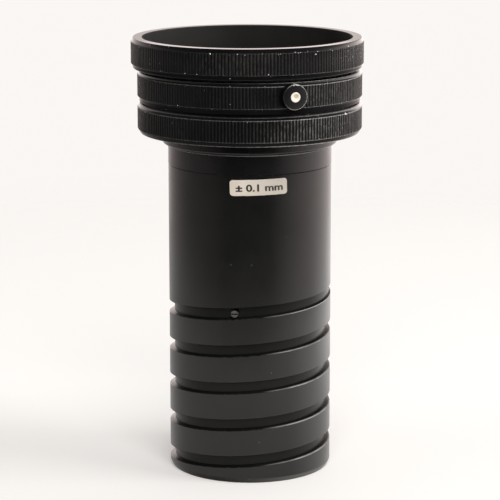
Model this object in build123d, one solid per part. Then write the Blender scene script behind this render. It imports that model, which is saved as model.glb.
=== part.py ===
from build123d import *
import os
from math import atan2, cos, degrees, radians, sin, sqrt

# Long-focus lens that stands on its rear end. Lengths are in mm, angles in degrees.
# The origin is the centre of the rear face and +Z runs along the optical axis to the front.
# An azimuth is 0 on the side that faces the viewer (-Y) and grows towards +X.

# Barrel
barrel_diameter = 52.5
barrel_length = 100.0
barrel_wall = 3.25
barrel_seam_wall = 1.65
rear_bore_step = 0.5
rear_bore_depth = 15.0
rear_recess_step = 0.6
rear_chamfer_width = 0.65
rear_chamfer_height = 1.5
seam_chamfer = 0.15

# Helical groove in the barrel, and where it runs out at the top
groove_pitch = 12.15
groove_width = 3.75
groove_floor_width = 2.8
groove_depth = 1.7
groove_front_height = 55.95
runout_start_azimuth = 10.0
runout_end_azimuth = 122.0
runout_overlap_angle = 1.0

# Stop screw and the fixed aperture stop that it holds
stop_screw_azimuth = -10.8
stop_screw_diameter = 2.5
stop_screw_end_below_surface = 0.15
stop_screw_engagement = 2.6
stop_screw_slot_width = 0.5
stop_screw_slot_depth = 0.6
stop_screw_recess_diameter = 3.3
aperture_stop_width = 4.0
aperture_stop_thickness = 4.0
aperture_bevel = 1.2

# Label stuck on the barrel
label_width = 18.3
label_height = 5.0
label_corner_radius = 0.95
label_thickness = 0.1
label_azimuth = 6.2
label_below_seam = 3.8
label_tilt = 1.35
adhesive_thickness = 0.01

# Head housing: spigot, neck, collar, lowest knurled ring and guide tube
spigot_length = 7.5
spigot_wall = 3.45
spigot_shoulder_width = 1.3
spigot_shoulder_length = 3.5
neck_step = 0.05
neck_length = 5.9
collar_ridge = 0.15
collar_overhang = 1.75
collar_chamfer_height = 1.1
collar_height = 3.2
collar_wall = 2.0
head_floor_thickness = 1.1
ring_diameter = 72.0
rear_ring_height = 9.6
rear_ring_lower_chamfer_width = 0.9
rear_ring_lower_chamfer_height = 1.5
rear_ring_upper_chamfer_width = 0.6
rear_ring_upper_chamfer_height = 0.85
rear_ring_land_height = 0.55
guide_tube_wall = 1.75

# Focus ring on the guide tube
focus_ring_gap = 0.45
focus_ring_wall = 2.8
focus_ring_lower_land_height = 1.35
focus_ring_lower_chamfer_width = 0.6
focus_ring_upper_land_height = 0.6
focus_ring_upper_chamfer_width = 0.5
focus_ring_chamfer_height = 0.5
bearing_washer_width = 0.8
circlip_thickness = 0.6
circlip_overhang = 0.85
circlip_depth_in_tube = 0.7
circlip_below_tube_end = 0.58
circlip_opening = 24.0

# Focus drive: pins on the sliding cell ride in helical grooves in the focus ring
focus_turn = 100.0
focus_travel = 5.0
cam_count = 3
cam_azimuth = 12.0
cam_pin_diameter = 2.0
cam_groove_depth = 1.3
cam_land = 0.7

# Lock screw in the focus ring
lock_azimuth = 20.9
lock_above_ring_bottom = 5.7
lock_thread_diameter = 2.9
lock_knob_diameter = 8.0
lock_knob_length = 3.3
lock_knob_chamfer = 0.3
lock_knob_stand_off = 0.35
spot_face_diameter = 11.0
spot_face_depth = 0.45
stud_head_diameter = 3.1
stud_proud = 0.1
stud_dish_diameter = 2.1
stud_dish_bottom_diameter = 0.4
stud_dish_depth = 0.45
lock_pad_diameter = 2.8
lock_pad_length = 0.9

# Front cell, which slides in the guide tube
cell_bottom_gap = 0.4
cell_wall = 1.36
cell_shoulder_width = 1.5
cell_shoulder_length = 1.8
cell_flange_gap = 0.3
cell_flange_overhang = 0.85
cell_flange_thickness = 0.92
cell_spigot_wall = 0.8
cell_spigot_length = 2.0

# Front ring, clamped on the cell a little off centre
front_ring_wall = 3.8
front_ring_height = 9.4
front_ring_skirt_length = 0.9
front_ring_skirt_edge = 0.2
front_ring_lower_chamfer_height = 0.8
front_ring_land_height = 1.1
front_ring_land_step = 0.55
front_ring_land_step_height = 0.3
front_ring_upper_chamfer_width = 0.6
front_ring_upper_chamfer_height = 1.4
front_ring_bore_chamfer = 0.3
front_ring_lip_thickness = 1.0
front_ring_offset = 0.77
front_ring_nut_width = 1.15
front_ring_nut_thickness = 1.0
front_bore_step = 0.6

# Glass and the rings that hold it
second_element_edge = 4.0
second_element_rear_sag = -1.5
second_element_front_sag = 3.2
element_spacer_length = 4.0
front_element_edge = 4.0
front_element_rear_sag = 0.5
front_element_front_sag = 4.5
front_retainer_length = 2.5
inner_element_edge = 5.5
inner_element_rear_sag = -1.5
inner_element_front_sag = -2.0
inner_retainer_length = 1.8
inner_retainer_to_cone = 1.1
rear_element_edge = 5.0
rear_element_rear_sag = 1.4
rear_element_front_sag = 1.0
rear_cell_wall = 2.85
rear_cell_shoulder_length = 3.0
rear_cell_lip = 0.2
rear_retainer_length = 1.8
retainer_width = 1.4
spanner_slot_width = 1.5
spanner_slot_depth = 0.8

# Clearances, measured on the radius or along the axis
screw_clearance = 0.03
stud_thread_clearance = 0.05
spigot_clearance = 0.05
cell_slide_clearance = 0.04
ring_turn_clearance = 0.05
washer_play = 0.05
pin_slot_clearance = 0.05
glass_clearance = 0.1
thread_clearance = 0.05
clamp_clearance = 0.03
pad_gap = 0.04
stud_gap = 0.05
cut_overshoot = 1.0

# Radii of the barrel and what fits in it
barrel_radius = barrel_diameter / 2
barrel_bore_radius = barrel_radius - barrel_wall
rear_bore_radius = barrel_bore_radius + rear_bore_step
rear_recess_radius = rear_bore_radius + rear_recess_step
counterbore_radius = barrel_radius - barrel_seam_wall
spigot_radius = counterbore_radius - spigot_clearance
spigot_bore_radius = spigot_radius - spigot_wall
spigot_shoulder_radius = spigot_bore_radius - spigot_shoulder_width
inner_element_radius = spigot_bore_radius - glass_clearance
rear_cell_radius = rear_bore_radius - thread_clearance
rear_cell_bore_radius = rear_cell_radius - rear_cell_wall
rear_element_radius = rear_cell_bore_radius - glass_clearance
neck_radius = barrel_radius + neck_step
collar_radius = barrel_radius + collar_overhang

# Radii of the head, from the rings inwards
ring_radius = ring_diameter / 2
focus_ring_bore_radius = ring_radius - focus_ring_wall
cam_floor_radius = focus_ring_bore_radius + cam_groove_depth
guide_tube_radius = focus_ring_bore_radius - ring_turn_clearance
guide_bore_radius = guide_tube_radius - guide_tube_wall
circlip_floor_radius = guide_tube_radius - circlip_depth_in_tube
circlip_radius = guide_tube_radius + circlip_overhang
cell_radius = guide_bore_radius - cell_slide_clearance
cell_bore_radius = cell_radius - cell_wall
cell_flange_radius = guide_tube_radius + cell_flange_overhang
cell_spigot_radius = cell_bore_radius + cell_spigot_wall
front_glass_radius = cell_bore_radius - glass_clearance
front_clear_radius = cell_bore_radius - cell_shoulder_width
nut_bore_radius = cell_spigot_radius + thread_clearance
nut_radius = nut_bore_radius + front_ring_nut_width
front_ring_play = front_ring_offset + clamp_clearance
lip_bore_radius = cell_spigot_radius + front_ring_play
nut_pocket_radius = nut_radius + front_ring_play
front_bore_radius = nut_pocket_radius + front_bore_step
front_ring_radius = front_bore_radius + front_ring_wall
skirt_bore_radius = cell_flange_radius + front_ring_play
spot_face_radius = ring_radius - spot_face_depth
knob_inner_radius = spot_face_radius + lock_knob_stand_off
cam_pin_radius = cam_pin_diameter / 2
cam_groove_half_width = cam_pin_radius + pin_slot_clearance

# Heights in the barrel
spigot_bottom = barrel_length - spigot_length
inner_element_bottom = spigot_bottom + spigot_shoulder_length
inner_retainer_bottom = inner_element_bottom + inner_element_edge
head_cone_bottom = inner_retainer_bottom + inner_retainer_length + inner_retainer_to_cone
rear_shoulder_bottom = rear_bore_depth - rear_cell_shoulder_length
rear_element_bottom = rear_shoulder_bottom - rear_element_edge
rear_retainer_bottom = rear_element_bottom - rear_retainer_length
rear_cell_bottom = rear_retainer_bottom - rear_cell_lip
stop_screw_height = groove_front_height + groove_pitch * stop_screw_azimuth / 360

# Heights in the head
neck_top = barrel_length + neck_length
collar_bottom = neck_top + collar_chamfer_height
rear_ring_bottom = collar_bottom + collar_height
rear_ring_top = rear_ring_bottom + rear_ring_height
head_floor = rear_ring_bottom + head_floor_thickness
focus_ring_bottom = rear_ring_top + focus_ring_gap
cam_groove_bottom = focus_ring_bottom + cam_land
cam_pin_height = cam_groove_bottom + cam_groove_half_width
cam_groove_top = cam_pin_height + focus_travel + cam_groove_half_width
circlip_seat = cam_groove_top + cam_land
circlip_bottom = circlip_seat + washer_play
circlip_top = circlip_bottom + circlip_thickness
focus_ring_top = circlip_top + circlip_below_tube_end
guide_tube_top = focus_ring_top
lock_height = focus_ring_bottom + lock_above_ring_bottom
cell_bottom = head_floor + cell_bottom_gap
second_element_bottom = cell_bottom + cell_shoulder_length
spacer_bottom = second_element_bottom + second_element_edge
front_element_bottom = spacer_bottom + element_spacer_length
front_retainer_bottom = front_element_bottom + front_element_edge
cell_flange_bottom = guide_tube_top + cell_flange_gap
cell_flange_top = cell_flange_bottom + cell_flange_thickness
cell_top = cell_flange_top + cell_spigot_length
lip_top = cell_flange_top + front_ring_lip_thickness
nut_top = lip_top + front_ring_nut_thickness
front_bore_floor = nut_top + washer_play
front_ring_top = cell_flange_top + front_ring_height
skirt_bottom = cell_flange_top - front_ring_skirt_length


def turned(*points):
    """Revolve a closed outline of (radius, height) points about the optical axis."""
    outline = Polyline(*[(radius, 0, height) for radius, height in points], close=True)
    return revolve(make_face(outline), Axis.Z)


def sleeve(inner, outer, bottom, top):
    """Plain round ring."""
    return turned((inner, bottom), (outer, bottom), (outer, top), (inner, top))


def outward_plane(azimuth, radius, height):
    """Plane at a point beside the axis: its z points outwards and its y points up."""
    across = Vector(cos(radians(azimuth)), sin(radians(azimuth)), 0)
    outward = Vector(sin(radians(azimuth)), -cos(radians(azimuth)), 0)
    return Plane(origin=outward * radius + Vector(0, 0, height), x_dir=across, z_dir=outward)


def radial_rod(azimuth, height, diameter, inner_radius, outer_radius):
    """Round rod along a radius, between two distances from the axis."""
    length = outer_radius - inner_radius
    rod = Cylinder(diameter / 2, length, align=(Align.CENTER, Align.CENTER, Align.MIN))
    return outward_plane(azimuth, inner_radius, height) * rod


def cam_azimuths():
    return [cam_azimuth + number * 360 / cam_count for number in range(cam_count)]


def helical_cutter(outline, pitch, height, radius, growth=0.0, lefthand=False):
    """Sweep a closed (outward, along axis) outline up a helix whose radius may grow on the way."""
    cone_angle = degrees(atan2(growth, height))
    path = Helix(pitch, height, radius, cone_angle=cone_angle, lefthand=lefthand)
    start = Plane(origin=path @ 0, x_dir=(1, 0, 0), z_dir=path % 0)
    section = start * make_face(Polyline(*outline, close=True))
    return sweep(section, path=path, is_frenet=True)


def half_arc(rim_radius, rim_height, sag):
    """Middle and vertex of a glass face whose middle stands up from its rim by the sag."""
    curve_radius = (rim_radius**2 + sag**2) / (2 * abs(sag))
    drop = curve_radius - sqrt(curve_radius**2 - (rim_radius / 2) ** 2)
    vertex = rim_height + sag
    middle = vertex - drop if sag > 0 else vertex + drop
    return (rim_radius / 2, middle), (0, vertex)


def lens_element(radius, clear_radius, bottom, edge, rear_sag, front_sag):
    """Glass with a flat rim; a sag is how far the middle of that face bulges out past the rim."""
    top = bottom + edge
    front_middle, front_vertex = half_arc(clear_radius, top, front_sag)
    rear_middle, rear_vertex = half_arc(clear_radius, bottom, -rear_sag)
    outline = [
        Line(rear_vertex, front_vertex),
        ThreePointArc(front_vertex, front_middle, (clear_radius, top)),
        Line((clear_radius, top), (radius, top)),
        Line((radius, top), (radius, bottom)),
        Line((radius, bottom), (clear_radius, bottom)),
        ThreePointArc((clear_radius, bottom), rear_middle, rear_vertex),
    ]
    return revolve(Plane.XZ * make_face(outline), Axis.Z)


def slotted_ring(inner, outer, bottom, top, slot_height):
    """Threaded ring, drawn as its plain sleeve, with two slots for a spanner in one face."""
    slots = Box(2 * outer + cut_overshoot, spanner_slot_width, 2 * spanner_slot_depth)
    return sleeve(inner, outer, bottom, top) - Pos(0, 0, slot_height) * slots


def groove_outline(overshoot):
    """Trapezoid groove section; its flanks go on past the surface by the overshoot."""
    half_floor = groove_floor_width / 2
    flank_slope = (groove_width - groove_floor_width) / 2 / groove_depth
    half_top = half_floor + flank_slope * (groove_depth + overshoot)
    return [
        (-groove_depth, -half_floor),
        (overshoot, -half_top),
        (overshoot, half_top),
        (-groove_depth, half_floor),
    ]


def groove_height(azimuth):
    """Height of the groove's middle in its top turn."""
    return groove_front_height + groove_pitch * azimuth / 360


def main_barrel():
    counterbore_floor = spigot_bottom - spigot_clearance
    body = turned(
        (rear_recess_radius, 0),
        (barrel_radius - rear_chamfer_width, 0),
        (barrel_radius, rear_chamfer_height),
        (barrel_radius, barrel_length - seam_chamfer),
        (barrel_radius - seam_chamfer, barrel_length),
        (counterbore_radius, barrel_length),
        (counterbore_radius, counterbore_floor),
        (barrel_bore_radius, counterbore_floor),
        (barrel_bore_radius, rear_bore_depth),
        (rear_bore_radius, rear_bore_depth),
        (rear_bore_radius, rear_cell_bottom),
        (rear_recess_radius, rear_cell_bottom),
    )
    outline = groove_outline(cut_overshoot)

    # The groove comes in below the rear face and keeps its full depth up to the run-out.
    start_height = -groove_width
    end_height = groove_height(runout_start_azimuth + runout_overlap_angle)
    start_azimuth = -360 * (groove_front_height - start_height) / groove_pitch
    groove = helical_cutter(outline, groove_pitch, end_height - start_height, barrel_radius)
    body -= Pos(0, 0, start_height) * Rot(0, 0, start_azimuth - 90) * groove

    # Over the run-out the cutter leaves the barrel slowly.
    runout_start = groove_height(runout_start_azimuth)
    runout_height = groove_height(runout_end_azimuth) - runout_start
    runout = helical_cutter(outline, groove_pitch, runout_height, barrel_radius, growth=groove_depth)
    body -= Pos(0, 0, runout_start) * Rot(0, 0, runout_start_azimuth - 90) * runout

    # Hole for the stop screw, with a shallow round recess where it meets the groove
    floor_radius = barrel_radius - groove_depth
    hole_diameter = stop_screw_diameter + 2 * screw_clearance
    recess_end = barrel_radius + cut_overshoot
    body -= radial_rod(stop_screw_azimuth, stop_screw_height, hole_diameter, 0, barrel_radius)
    body -= radial_rod(
        stop_screw_azimuth, stop_screw_height, stop_screw_recess_diameter, floor_radius, recess_end
    )
    return body


def stop_screw():
    inner_end = barrel_bore_radius - stop_screw_engagement
    outer_end = barrel_radius - stop_screw_end_below_surface
    screw = radial_rod(stop_screw_azimuth, stop_screw_height, stop_screw_diameter, inner_end, outer_end)
    slot = Box(2 * stop_screw_diameter, stop_screw_slot_width, 2 * stop_screw_slot_depth)
    return screw - outward_plane(stop_screw_azimuth, outer_end, stop_screw_height) * slot


def aperture_stop():
    outer = barrel_bore_radius - thread_clearance
    inner = outer - aperture_stop_width
    bottom = stop_screw_height - aperture_stop_thickness / 2
    top = stop_screw_height + aperture_stop_thickness / 2
    ring = turned(
        (inner, bottom + aperture_bevel),
        (inner + aperture_bevel, bottom),
        (outer, bottom),
        (outer, top),
        (inner + aperture_bevel, top),
        (inner, top - aperture_bevel),
    )
    hole_diameter = stop_screw_diameter + 2 * screw_clearance
    hole_bottom = barrel_bore_radius - stop_screw_engagement - screw_clearance
    return ring - radial_rod(stop_screw_azimuth, stop_screw_height, hole_diameter, hole_bottom, barrel_radius)


def barrel_label():
    inner = barrel_radius + adhesive_thickness
    height = barrel_length - label_below_seam
    film = sleeve(inner, inner + label_thickness, height - label_height, height + label_height)
    chord = 2 * inner * sin(label_width / (2 * inner))
    blank = extrude(RectangleRounded(chord, label_height, label_corner_radius), barrel_radius)
    return film & (outward_plane(label_azimuth, barrel_radius / 2, height) * Rot(0, 0, label_tilt) * blank)


def head_housing():
    land_radius = ring_radius - rear_ring_upper_chamfer_width
    land_bottom = rear_ring_top - rear_ring_land_height
    body = turned(
        (spigot_shoulder_radius, spigot_bottom),
        (spigot_radius, spigot_bottom),
        (spigot_radius, barrel_length),
        (neck_radius - seam_chamfer, barrel_length),
        (neck_radius, barrel_length + seam_chamfer),
        (neck_radius, neck_top),
        (neck_radius + collar_ridge, neck_top),
        (collar_radius, collar_bottom),
        (collar_radius, rear_ring_bottom),
        (ring_radius - rear_ring_lower_chamfer_width, rear_ring_bottom),
        (ring_radius, rear_ring_bottom + rear_ring_lower_chamfer_height),
        (ring_radius, land_bottom - rear_ring_upper_chamfer_height),
        (land_radius, land_bottom),
        (land_radius, rear_ring_top),
        (guide_tube_radius, rear_ring_top),
        (guide_tube_radius, guide_tube_top),
        (guide_bore_radius, guide_tube_top),
        (guide_bore_radius, head_floor),
        (collar_radius - collar_wall, head_floor),
        (spigot_bore_radius, head_cone_bottom),
        (spigot_bore_radius, inner_element_bottom),
        (spigot_shoulder_radius, inner_element_bottom),
    )

    # Groove for the circlip, and a straight slot for each pin
    body -= sleeve(circlip_floor_radius, ring_radius, circlip_bottom - washer_play, circlip_top + washer_play)
    slot_width = 2 * cam_groove_half_width
    slot_length = cam_groove_top - cam_groove_bottom
    slot = Box(slot_width, slot_length, guide_tube_radius, align=(Align.CENTER, Align.MIN, Align.CENTER))
    for azimuth in cam_azimuths():
        body -= outward_plane(azimuth, guide_tube_radius, cam_groove_bottom) * slot
    return body


def inner_element():
    return lens_element(
        inner_element_radius,
        inner_element_radius - retainer_width,
        inner_element_bottom,
        inner_element_edge,
        inner_element_rear_sag,
        inner_element_front_sag,
    )


def inner_retaining_ring():
    outer = spigot_bore_radius - thread_clearance
    top = inner_retainer_bottom + inner_retainer_length
    return slotted_ring(outer - retainer_width, outer, inner_retainer_bottom, top, slot_height=top)


def rear_cell():
    shoulder_radius = rear_cell_bore_radius - retainer_width
    return turned(
        (rear_cell_bore_radius, rear_cell_bottom),
        (rear_cell_radius, rear_cell_bottom),
        (rear_cell_radius, rear_bore_depth),
        (shoulder_radius, rear_bore_depth),
        (shoulder_radius, rear_shoulder_bottom),
        (rear_cell_bore_radius, rear_shoulder_bottom),
    )


def rear_element():
    return lens_element(
        rear_element_radius,
        rear_element_radius - retainer_width,
        rear_element_bottom,
        rear_element_edge,
        rear_element_rear_sag,
        rear_element_front_sag,
    )


def rear_retaining_ring():
    outer = rear_cell_bore_radius - thread_clearance
    bottom = rear_retainer_bottom
    return slotted_ring(outer - retainer_width, outer, bottom, rear_element_bottom, slot_height=bottom)


def bearing_washer():
    inner = focus_ring_bore_radius
    return sleeve(inner, inner + bearing_washer_width, rear_ring_top, focus_ring_bottom - washer_play)


def retaining_circlip():
    inner = circlip_floor_radius + washer_play
    opening = Box(circlip_opening, 4 * circlip_thickness, circlip_radius)
    ring = sleeve(inner, circlip_radius, circlip_bottom, circlip_top)
    return ring - outward_plane(180, circlip_radius, circlip_bottom) * opening


def focus_ring():
    circlip_seat_radius = circlip_radius + thread_clearance
    lower_land_radius = ring_radius - focus_ring_lower_chamfer_width
    lower_land_top = focus_ring_bottom + focus_ring_lower_land_height
    upper_land_radius = ring_radius - focus_ring_upper_chamfer_width
    upper_land_bottom = focus_ring_top - focus_ring_upper_land_height
    body = turned(
        (focus_ring_bore_radius, focus_ring_bottom),
        (lower_land_radius, focus_ring_bottom),
        (lower_land_radius, lower_land_top),
        (ring_radius, lower_land_top + focus_ring_chamfer_height),
        (ring_radius, upper_land_bottom - focus_ring_chamfer_height),
        (upper_land_radius, upper_land_bottom),
        (upper_land_radius, focus_ring_top),
        (circlip_seat_radius, focus_ring_top),
        (circlip_seat_radius, circlip_seat),
        (focus_ring_bore_radius, circlip_seat),
    )

    # Each pin climbs as the ring turns towards +X, so its groove winds the other way.
    half_width = cam_groove_half_width
    lead = focus_travel * 360 / focus_turn
    middle_radius = (focus_ring_bore_radius + cam_floor_radius) / 2
    half_depth = cam_floor_radius - middle_radius
    end_angle = degrees(half_width / middle_radius)
    end_rise = lead * end_angle / 360
    inner_side = -half_depth - ring_turn_clearance
    outline = [
        (inner_side, -half_width),
        (half_depth, -half_width),
        (half_depth, half_width),
        (inner_side, half_width),
    ]
    groove = helical_cutter(outline, lead, focus_travel + 2 * end_rise, middle_radius, lefthand=True)
    for azimuth in cam_azimuths():
        body -= Pos(0, 0, cam_pin_height - end_rise) * Rot(0, 0, azimuth + end_angle - 90) * groove

    # Tapped hole and flat seat for the lock screw
    hole_diameter = lock_thread_diameter + 2 * stud_thread_clearance
    seat_end = ring_radius + cut_overshoot
    body -= radial_rod(lock_azimuth, lock_height, hole_diameter, guide_tube_radius, ring_radius)
    body -= radial_rod(lock_azimuth, lock_height, spot_face_diameter, spot_face_radius, seat_end)
    return body


def lock_screw_knob():
    knob = Cylinder(lock_knob_diameter / 2, lock_knob_length, align=(Align.CENTER, Align.CENTER, Align.MIN))
    knob = chamfer(knob.edges().filter_by(GeomType.CIRCLE), lock_knob_chamfer)
    knob -= Cylinder(stud_head_diameter / 2 + screw_clearance, 3 * lock_knob_length)
    return outward_plane(lock_azimuth, knob_inner_radius, lock_height) * knob


def lock_screw_stud():
    outer_end = knob_inner_radius + lock_knob_length + stud_proud
    inner_end = guide_tube_radius + pad_gap + lock_pad_length + stud_gap
    stud = radial_rod(lock_azimuth, lock_height, lock_thread_diameter, inner_end, outer_end)
    stud += radial_rod(lock_azimuth, lock_height, stud_head_diameter, knob_inner_radius, outer_end)
    dish = Cone(
        stud_dish_bottom_diameter / 2,
        stud_dish_diameter / 2,
        stud_dish_depth,
        align=(Align.CENTER, Align.CENTER, Align.MAX),
    )
    return stud - outward_plane(lock_azimuth, outer_end, lock_height) * dish


def lock_pad():
    inner_end = guide_tube_radius + pad_gap
    return radial_rod(lock_azimuth, lock_height, lock_pad_diameter, inner_end, inner_end + lock_pad_length)


def front_cell():
    body = turned(
        (front_clear_radius, cell_bottom),
        (cell_radius, cell_bottom),
        (cell_radius, cell_flange_bottom),
        (cell_flange_radius, cell_flange_bottom),
        (cell_flange_radius, cell_flange_top),
        (cell_spigot_radius, cell_flange_top),
        (cell_spigot_radius, cell_top),
        (cell_bore_radius, cell_top),
        (cell_bore_radius, second_element_bottom),
        (front_clear_radius, second_element_bottom),
    )
    hole_diameter = cam_pin_diameter + 2 * screw_clearance
    for azimuth in cam_azimuths():
        body -= radial_rod(azimuth, cam_pin_height, hole_diameter, 0, ring_radius)
    return body


def cam_pins():
    inner_end = cell_bore_radius + screw_clearance
    outer_end = cam_floor_radius - pin_slot_clearance
    return Compound(
        children=[
            radial_rod(azimuth, cam_pin_height, cam_pin_diameter, inner_end, outer_end)
            for azimuth in cam_azimuths()
        ]
    )


def front_ring():
    land_radius = front_ring_radius - front_ring_land_step
    land_bottom = skirt_bottom + front_ring_lower_chamfer_height
    land_top = land_bottom + front_ring_land_height
    body = turned(
        (lip_bore_radius, cell_flange_top),
        (skirt_bore_radius, cell_flange_top),
        (skirt_bore_radius, skirt_bottom),
        (skirt_bore_radius + front_ring_skirt_edge, skirt_bottom),
        (land_radius, land_bottom),
        (land_radius, land_top),
        (front_ring_radius, land_top + front_ring_land_step_height),
        (front_ring_radius, front_ring_top - front_ring_upper_chamfer_height),
        (front_ring_radius - front_ring_upper_chamfer_width, front_ring_top),
        (front_bore_radius + front_ring_bore_chamfer, front_ring_top),
        (front_bore_radius, front_ring_top - front_ring_bore_chamfer),
        (front_bore_radius, front_bore_floor),
        (nut_pocket_radius, front_bore_floor),
        (nut_pocket_radius, lip_top),
        (lip_bore_radius, lip_top),
    )
    return Pos(-front_ring_offset, 0, 0) * body


def front_ring_nut():
    return slotted_ring(nut_bore_radius, nut_radius, lip_top, nut_top, slot_height=nut_top)


def second_element():
    return lens_element(
        front_glass_radius,
        front_clear_radius,
        second_element_bottom,
        second_element_edge,
        second_element_rear_sag,
        second_element_front_sag,
    )


def element_spacer():
    return sleeve(front_clear_radius, front_glass_radius, spacer_bottom, front_element_bottom)


def front_element():
    return lens_element(
        front_glass_radius,
        front_clear_radius,
        front_element_bottom,
        front_element_edge,
        front_element_rear_sag,
        front_element_front_sag,
    )


def front_element_retainer():
    outer = cell_bore_radius - thread_clearance
    top = front_retainer_bottom + front_retainer_length
    return slotted_ring(outer - retainer_width, outer, front_retainer_bottom, top, slot_height=top)


sub_parts = [
    main_barrel,
    stop_screw,
    aperture_stop,
    barrel_label,
    head_housing,
    inner_element,
    inner_retaining_ring,
    rear_cell,
    rear_element,
    rear_retaining_ring,
    bearing_washer,
    retaining_circlip,
    focus_ring,
    lock_screw_knob,
    lock_screw_stud,
    lock_pad,
    front_cell,
    cam_pins,
    front_ring,
    front_ring_nut,
    second_element,
    element_spacer,
    front_element,
    front_element_retainer,
]

os.makedirs("parts", exist_ok=True)
for sub_part in sub_parts:
    export_step(sub_part(), f"parts/{sub_part.__name__}.step")
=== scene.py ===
import random
from math import atan2, cos, degrees, hypot, pi, radians, sin

import bpy
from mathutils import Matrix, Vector


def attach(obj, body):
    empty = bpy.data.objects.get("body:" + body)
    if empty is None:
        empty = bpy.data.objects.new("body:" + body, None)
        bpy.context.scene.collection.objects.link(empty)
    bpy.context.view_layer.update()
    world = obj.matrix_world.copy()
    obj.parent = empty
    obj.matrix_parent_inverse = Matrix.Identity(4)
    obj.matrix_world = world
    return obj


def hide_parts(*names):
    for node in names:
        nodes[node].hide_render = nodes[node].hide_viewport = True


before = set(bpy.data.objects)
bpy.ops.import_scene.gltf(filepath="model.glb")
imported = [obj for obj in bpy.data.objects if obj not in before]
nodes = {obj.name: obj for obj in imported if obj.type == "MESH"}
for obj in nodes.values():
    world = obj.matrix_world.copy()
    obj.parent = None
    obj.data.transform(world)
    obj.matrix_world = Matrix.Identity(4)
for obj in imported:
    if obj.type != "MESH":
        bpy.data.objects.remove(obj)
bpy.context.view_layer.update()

# Long-focus lens standing on its rear face. All sizes below are in millimetres and
# degrees; azimuth 0 is the side with the label (-Y) and grows towards +X.

mm = 0.001
mmPerMetre = 1000.0
bpy.context.scene.unit_settings.length_unit = "MILLIMETERS"
print("frame loaded:", len(nodes), "CAD nodes")


# Small helpers for modelling

shaping = {
    "weldDistance": 0.002,
    "sameHeight": 0.02,
    "smoothAngle": 24,
    "shortestSideShare": 0.3,
    "valleyDepths": (0.92, 1.06),
    "knurlCornerFlat": 0.14,
}


def inMetres(values):
    return [value * mm for value in values]


def enterMode(mode):
    bpy.ops.object.mode_set(mode=mode)


def selectMesh(action):
    bpy.ops.mesh.select_all(action=action)


def applyTransform(location=False, rotation=False, scale=False):
    bpy.ops.object.transform_apply(location=location, rotation=rotation, scale=scale)


def deselectAll():
    if bpy.context.object and bpy.context.object.mode != "OBJECT":
        enterMode("OBJECT")
    bpy.ops.object.select_all(action="DESELECT")


def makeActive(piece):
    deselectAll()
    piece.select_set(True)
    bpy.context.view_layer.objects.active = piece


def applyModifiers(piece):
    makeActive(piece)
    for modifier in list(piece.modifiers):
        bpy.ops.object.modifier_apply(modifier=modifier.name)


def azimuthOf(point):
    return degrees(atan2(point.x, -point.y))


def weldPoints():
    selectMesh("SELECT")
    bpy.ops.mesh.remove_doubles(threshold=shaping["weldDistance"] * mm)


def tidyMesh(piece, smoothAngle=shaping["smoothAngle"]):
    makeActive(piece)
    enterMode("EDIT")
    weldPoints()
    bpy.ops.mesh.normals_make_consistent(inside=False)
    selectMesh("DESELECT")
    enterMode("OBJECT")
    bpy.ops.object.shade_smooth_by_angle(angle=radians(smoothAngle))


def breakCorners(outline, width, keep=()):
    # every corner of a closed (radius, height) outline, apart from those kept sharp, gets a small flat
    softened = []
    for number, (radius, height) in enumerate(outline):
        before = outline[number - 1]
        after = outline[(number + 1) % len(outline)]
        if number in keep:
            softened.append((radius, height))
            continue
        lengths = [hypot(other[0] - radius, other[1] - height) for other in (before, after)]
        widest = shaping["shortestSideShare"] * min(lengths)
        for other, length in zip((before, after), lengths):
            share = min(width, widest) / length
            softened.append((radius + (other[0] - radius) * share, height + (other[1] - height) * share))
    return softened


def startTurning(name, outline, steps, fill):
    # the first corner of the outline becomes a circle, open for editing and selected all over
    deselectAll()
    radius, height = outline[0]
    bpy.ops.mesh.primitive_circle_add(
        vertices=steps, radius=radius * mm, fill_type=fill, location=(0, 0, height * mm)
    )
    piece = bpy.context.object
    piece.name = name
    piece.data.name = name
    applyTransform(location=True)
    enterMode("EDIT")
    selectMesh("SELECT")
    return piece


def widenTo(radius, nextRadius):
    widening = nextRadius / radius
    bpy.ops.transform.resize(value=(widening, widening, 1), center_override=(0, 0, 0))


def turnRing(name, outline, steps):
    # a circle is extruded and scaled from corner to corner, and the last loop meets the first
    ring = startTurning(name, outline, steps, "NOTHING")
    for (radius, height), (nextRadius, nextHeight) in zip(outline, outline[1:] + outline[:1]):
        step = (0, 0, (nextHeight - height) * mm)
        bpy.ops.mesh.extrude_region_move(TRANSFORM_OT_translate={"value": step})
        widenTo(radius, nextRadius)
    enterMode("OBJECT")
    tidyMesh(ring)
    return ring


def turnDisc(name, outline, steps):
    # like a ring, but both ends of the outline stop near the axis and get a small flat cap
    disc = startTurning(name, outline, steps, "NGON")
    bpy.ops.mesh.select_mode(type="EDGE")
    selectMesh("SELECT")
    for (radius, height), (nextRadius, nextHeight) in zip(outline, outline[1:]):
        step = (0, 0, (nextHeight - height) * mm)
        bpy.ops.mesh.extrude_edges_move(TRANSFORM_OT_translate={"value": step})
        widenTo(radius, nextRadius)
    bpy.ops.mesh.edge_face_add()
    enterMode("OBJECT")
    tidyMesh(disc)
    return disc


def standOut(piece, azimuth, height):
    # turns a piece made along +Z so that it points outwards from the optical axis
    makeActive(piece)
    piece.rotation_euler = (pi / 2, 0, radians(azimuth))
    piece.location = (0, 0, height * mm)
    applyTransform(location=True, rotation=True)


def roundBar(name, azimuth, height, radius, reach, sides=48):
    # a bar between two distances from the optical axis
    inner, outer = reach
    middle = (0, 0, (inner + outer) / 2 * mm)
    deselectAll()
    bpy.ops.mesh.primitive_cylinder_add(
        vertices=sides, radius=radius * mm, depth=(outer - inner) * mm, location=middle
    )
    bar = bpy.context.object
    bar.name = name
    applyTransform(location=True)
    standOut(bar, azimuth, height)
    return bar


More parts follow.
